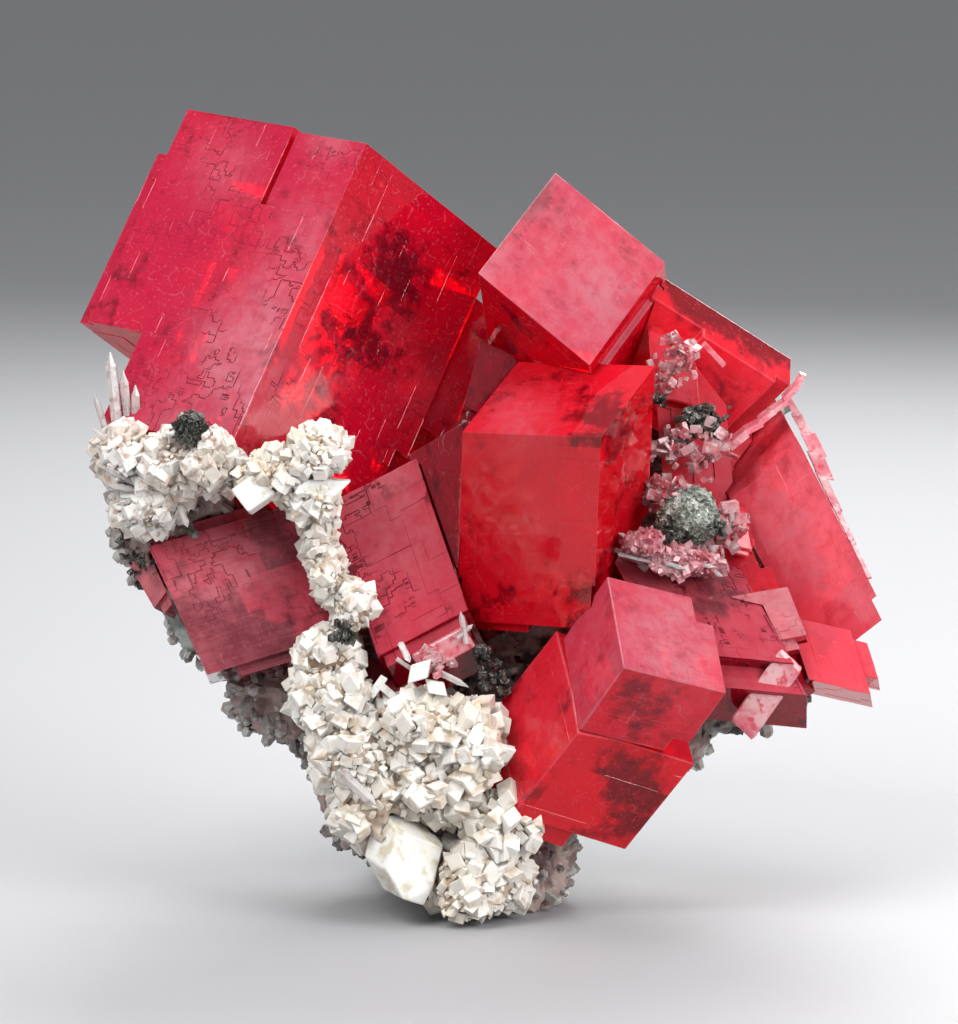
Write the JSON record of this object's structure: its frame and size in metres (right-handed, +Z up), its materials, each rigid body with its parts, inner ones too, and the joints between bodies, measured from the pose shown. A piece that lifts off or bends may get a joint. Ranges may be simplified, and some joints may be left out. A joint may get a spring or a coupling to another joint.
{
  "type": "rhodochrosite crystal specimen",
  "caption": "Cluster of see-through red rhomb crystals with white druse and dark sulphides on rough matrix, standing on a flat cut foot; a display mineral.",
  "frame": {"origin": "on the flat foot, near the front of it and in the middle of the cluster's width", "axes": "+Z up from the foot, -Y towards the viewer of the show side, +X to the viewer's right"},
  "size_m": [0.1406, 0.0872, 0.1356],
  "materials": {
    "red_crystal": "polished, see-through deep red",
    "pink_crystal": "frosted, see-through rose pink",
    "deep_crystal": "polished, see-through dark crimson",
    "white_calcite": "satin, slightly translucent white",
    "cream_quartz": "sugary cream-white",
    "sulphide": "dark metallic grains",
    "matrix_rock": "rough, broken"
  },
  "bodies": {
    "root": {"rhomb_centre": "red_crystal", "rhomb_lower_front": "pink_crystal", "rhomb_lower_deep": "deep_crystal", "rhomb_behind_front": "pink_crystal", "rhomb_lower_right": "deep_crystal", "rhomb_pale_block": "pink_crystal", "rhomb_right_low": "pink_crystal", "rhomb_right": "pink_crystal", "rhomb_top": "pink_crystal", "rhomb_great_left": "red_crystal", "rhomb_mid_left": "pink_crystal", "rhomb_mid_back": "deep_crystal", "rhomb_lower_left": "pink_crystal", "rhomb_pale_left": "pink_crystal", "rhomb_ridge": "red_crystal", "rhomb_recess": "pink_crystal", "rhomb_coral_small": "pink_crystal", "rhomb_crimson": "deep_crystal", "rhomb_between": "deep_crystal", "rhomb_pink_side": "pink_crystal", "rhomb_under_mid": "deep_crystal", "calcite_great": "white_calcite", "sulphide_ball": "sulphide", "sulphide_recess": "sulphide", "sulphide_left": "sulphide", "druse_column": "white_calcite", "druse_upper": "white_calcite", "druse_left": "cream_quartz", "druse_pink": "cream_quartz", "matrix": "matrix_rock"}
  },
  "joints": []
}
